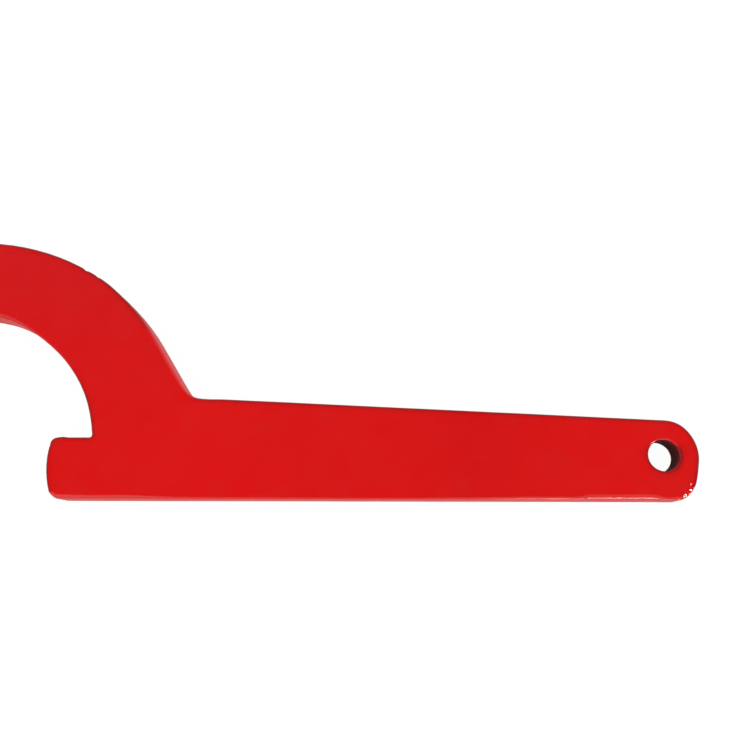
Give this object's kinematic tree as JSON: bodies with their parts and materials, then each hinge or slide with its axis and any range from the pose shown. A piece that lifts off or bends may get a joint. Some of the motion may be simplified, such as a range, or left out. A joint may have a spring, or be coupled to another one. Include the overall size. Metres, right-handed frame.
{
  "type": "fire hydrant wrench",
  "caption": "Flat one-piece hook wrench for hydrant caps: a round open jaw with two facing lug teeth, a long tapered handle and a hanging hole.",
  "frame": {"origin": "centre of the jaw's inside circle, on the plate's back face", "axes": "+X along the handle to the hanging hole, +Y from the jaw's centre to the crown of the hook, +Z along the plate's normal, out of the front face"},
  "size_m": [0.3271, 0.0915, 0.01],
  "materials": {
    "red_enamel": "glossy red enamel on cut steel plate"
  },
  "bodies": {
    "root": {"wrench_plate": "red_enamel"}
  },
  "joints": []
}
